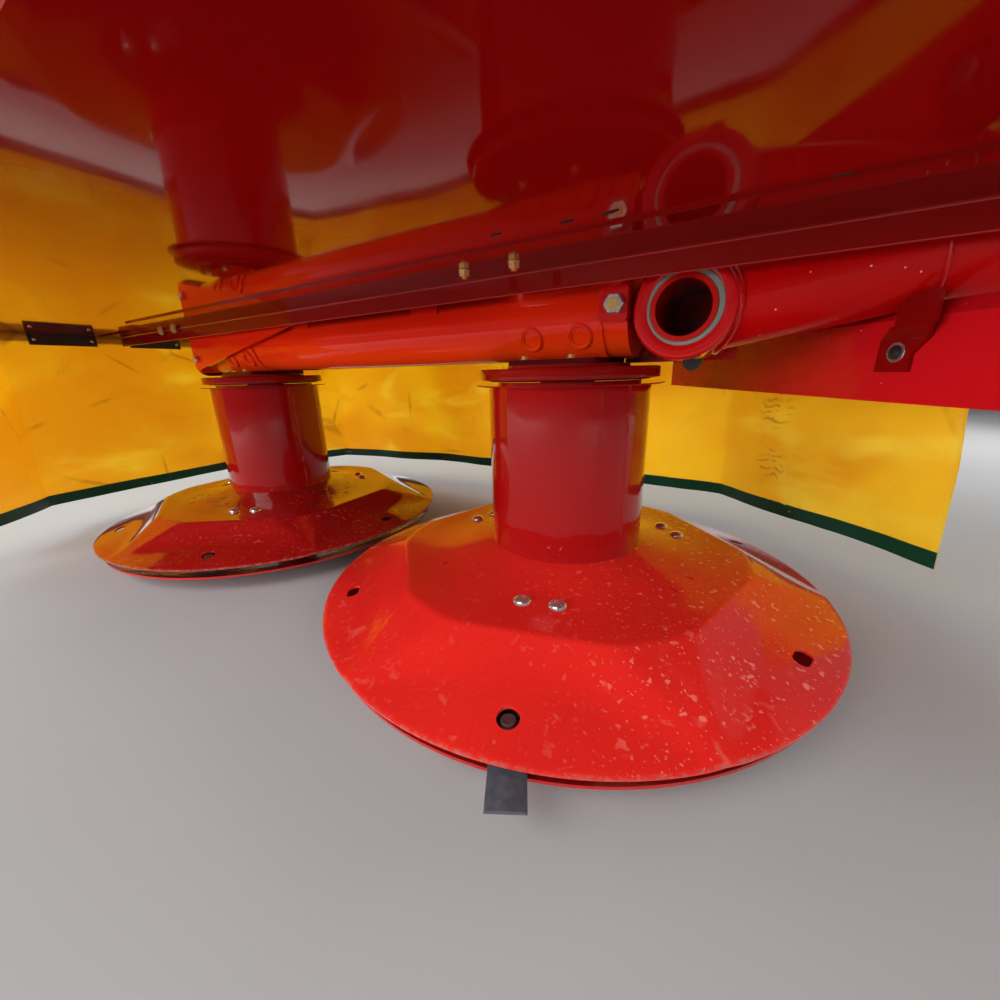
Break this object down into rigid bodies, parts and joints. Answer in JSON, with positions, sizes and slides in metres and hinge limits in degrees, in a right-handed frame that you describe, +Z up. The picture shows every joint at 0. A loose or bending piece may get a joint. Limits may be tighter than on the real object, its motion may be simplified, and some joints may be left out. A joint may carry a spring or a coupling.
{
  "type": "two-drum rotary drum mower",
  "caption": "Rear-mounted rotary mower: two drums with conical cutting discs under a gear beam, red deck, yellow curtains, pivoted carrier arm, belt guard and three-point headstock.",
  "frame": {"origin": "on the ground under the inner drum's axis, at the sole of its skid saucer", "axes": "+X outwards to the right of the machine along the gear beam, +Y forwards to the tractor, +Z up"},
  "size_m": [3.4856, 1.408, 1.125],
  "materials": {
    "frame_red": "gloss enamel",
    "disc_red": "gloss enamel, water marks and scuffed rim",
    "saucer_red": "enamel, scuffed below",
    "zinc": "yellow zinc plate",
    "bright_steel": "machined and oiled",
    "dark_steel": "hardened, dark and satin",
    "grey_plastic": "satin",
    "black_plastic": "satin",
    "yellow_sheet": "coated tarpaulin, creased"
  },
  "bodies": {
    "headstock": {"headstock": "frame_red", "mast_bars": "frame_red", "mast_head": "frame_red", "spine": "frame_red", "brace": "frame_red", "link_pin_left": "zinc", "link_pin_right": "zinc", "swing_pin": "zinc"},
    "stand_leg": {"stand_leg": "zinc"},
    "arm": {"carrier_arm": "frame_red", "arm_hub": "frame_red", "pivot_bush": "grey_plastic", "deflector_plate": "frame_red", "deflector_bracket": "frame_red", "belt_guard": "frame_red", "guard_back": "frame_red", "guard_stays": "frame_red", "input_bearing": "frame_red", "drive_shield": "black_plastic"},
    "drive_shaft": {"drive_shaft": "bright_steel"},
    "cutter": {"gear_beam": "frame_red", "base_plate": "frame_red", "hub_keeper": "frame_red", "end_plate": "frame_red", "input_tower": "frame_red", "deck": "frame_red", "rail": "frame_red", "curtain": "yellow_sheet", "curtain_strips": "black_plastic", "front_curtain": "yellow_sheet", "cap_inner": "frame_red", "cap_outer": "frame_red"},
    "drum_inner": {"drum_inner": "frame_red", "disc_inner": "disc_red", "carriers_inner": "dark_steel"},
    "saucer_inner": {"saucer_inner": "saucer_red"},
    "drum_outer": {"drum_outer": "frame_red", "disc_outer": "disc_red", "carriers_outer": "dark_steel"},
    "saucer_outer": {"saucer_outer": "saucer_red"},
    "knife_inner_1": {"knife_inner_1": "dark_steel"},
    "knife_inner_2": {"knife_inner_2": "dark_steel"},
    "knife_inner_3": {"knife_inner_3": "dark_steel"},
    "knife_outer_1": {"knife_outer_1": "dark_steel"},
    "knife_outer_2": {"knife_outer_2": "dark_steel"},
    "knife_outer_3": {"knife_outer_3": "dark_steel"}
  },
  "joints": [
    {"name": "swing_back", "type": "hinge", "parent": "headstock", "child": "arm", "pos_m": [-1.43, 0.002, 0.546], "axis": [0, 0, 1], "range_deg": [-90, 0]},
    {"name": "stand_slide", "type": "slide", "parent": "headstock", "child": "stand_leg", "axis": [0, 0, 1], "range_m": [0, 0.3]},
    {"name": "cutter_tilt", "type": "hinge", "parent": "arm", "child": "cutter", "pos_m": [-0.182, 0, 0.504], "axis": [0, 1, 0], "range_deg": [-8, 8]},
    {"name": "drive_shaft_spin", "type": "hinge", "parent": "arm", "child": "drive_shaft", "pos_m": [-1.24, 0.2, 0.835], "axis": [0, 1, 0], "continuous": true},
    {"name": "drum_inner_spin", "type": "hinge", "parent": "cutter", "child": "drum_inner", "pos_m": [0, 0, 0.3], "axis": [0, 0, 1], "continuous": true},
    {"name": "saucer_inner_spin", "type": "hinge", "parent": "drum_inner", "child": "saucer_inner", "pos_m": [0, 0, 0.03], "axis": [0, 0, 1], "continuous": true},
    {"name": "drum_outer_spin", "type": "hinge", "parent": "cutter", "child": "drum_outer", "pos_m": [0.89, 0, 0.3], "axis": [0, 0, 1], "continuous": true},
    {"name": "saucer_outer_spin", "type": "hinge", "parent": "drum_outer", "child": "saucer_outer", "pos_m": [0.89, 0, 0.03], "axis": [0, 0, 1], "continuous": true},
    {"name": "knife_inner_1_swing", "type": "hinge", "parent": "drum_inner", "child": "knife_inner_1", "pos_m": [-0.09615, 0.37177, 0.053], "axis": [0, 0, 1], "range_deg": [-119, 91]},
    {"name": "knife_inner_2_swing", "type": "hinge", "parent": "drum_inner", "child": "knife_inner_2", "pos_m": [-0.27389, -0.26915, 0.053], "axis": [0, 0, 1], "range_deg": [-208, 2]},
    {"name": "knife_inner_3_swing", "type": "hinge", "parent": "drum_inner", "child": "knife_inner_3", "pos_m": [0.37003, -0.10262, 0.053], "axis": [0, 0, 1], "range_deg": [-2, 208]},
    {"name": "knife_outer_1_swing", "type": "hinge", "parent": "drum_outer", "child": "knife_outer_1", "pos_m": [0.6725, 0.31646, 0.053], "axis": [0, 0, 1], "range_deg": [-8, 202]},
    {"name": "knife_outer_2_swing", "type": "hinge", "parent": "drum_outer", "child": "knife_outer_2", "pos_m": [0.72468, -0.34659, 0.053], "axis": [0, 0, 1], "range_deg": [-208, 2]},
    {"name": "knife_outer_3_swing", "type": "hinge", "parent": "drum_outer", "child": "knife_outer_3", "pos_m": [1.27282, 0.03013, 0.053], "axis": [0, 0, 1], "range_deg": [-2, 208]}
  ],
  "couplings": [
    {"joint": "drum_outer_spin", "follows": "drum_inner_spin", "ratio": -1},
    {"joint": "drive_shaft_spin", "follows": "drum_inner_spin", "ratio": 0.3}
  ]
}
